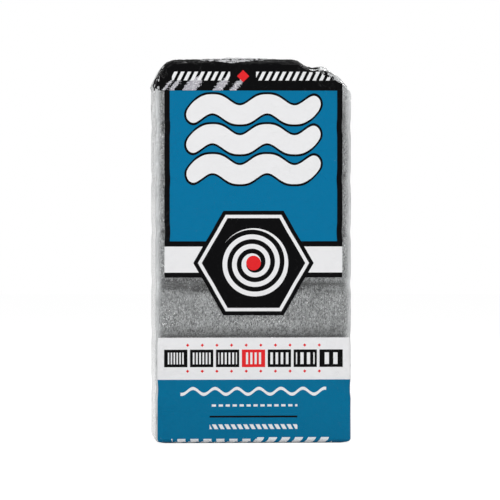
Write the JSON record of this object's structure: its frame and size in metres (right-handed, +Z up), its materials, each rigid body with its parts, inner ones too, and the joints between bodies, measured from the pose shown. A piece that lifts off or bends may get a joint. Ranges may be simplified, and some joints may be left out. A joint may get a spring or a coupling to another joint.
{
  "type": "sealed pack of steel wool pads",
  "caption": "Upright pack of rolled steel wool pads in clear film with folded ends, a back seam and printed fields on its front.",
  "frame": {"origin": "middle of the base, on the surface that the pack stands on", "axes": "+Z up the pack, its printed front faces -Y, +X to the right of someone who looks at the front"},
  "size_m": [0.1084, 0.072, 0.21],
  "materials": {
    "film": "clear thin film, printed on the front in black, blue and white",
    "steel_wool": "fine steel fibres, satin grey"
  },
  "bodies": {
    "root": {"film": "film", "pad_front_1": "steel_wool", "pad_front_2": "steel_wool", "pad_front_3": "steel_wool", "pad_front_4": "steel_wool", "pad_front_5": "steel_wool", "pad_front_6": "steel_wool", "pad_front_7": "steel_wool", "pad_back_1": "steel_wool", "pad_back_2": "steel_wool", "pad_back_3": "steel_wool", "pad_back_4": "steel_wool", "pad_back_5": "steel_wool", "pad_back_6": "steel_wool", "pad_back_7": "steel_wool"}
  },
  "joints": []
}
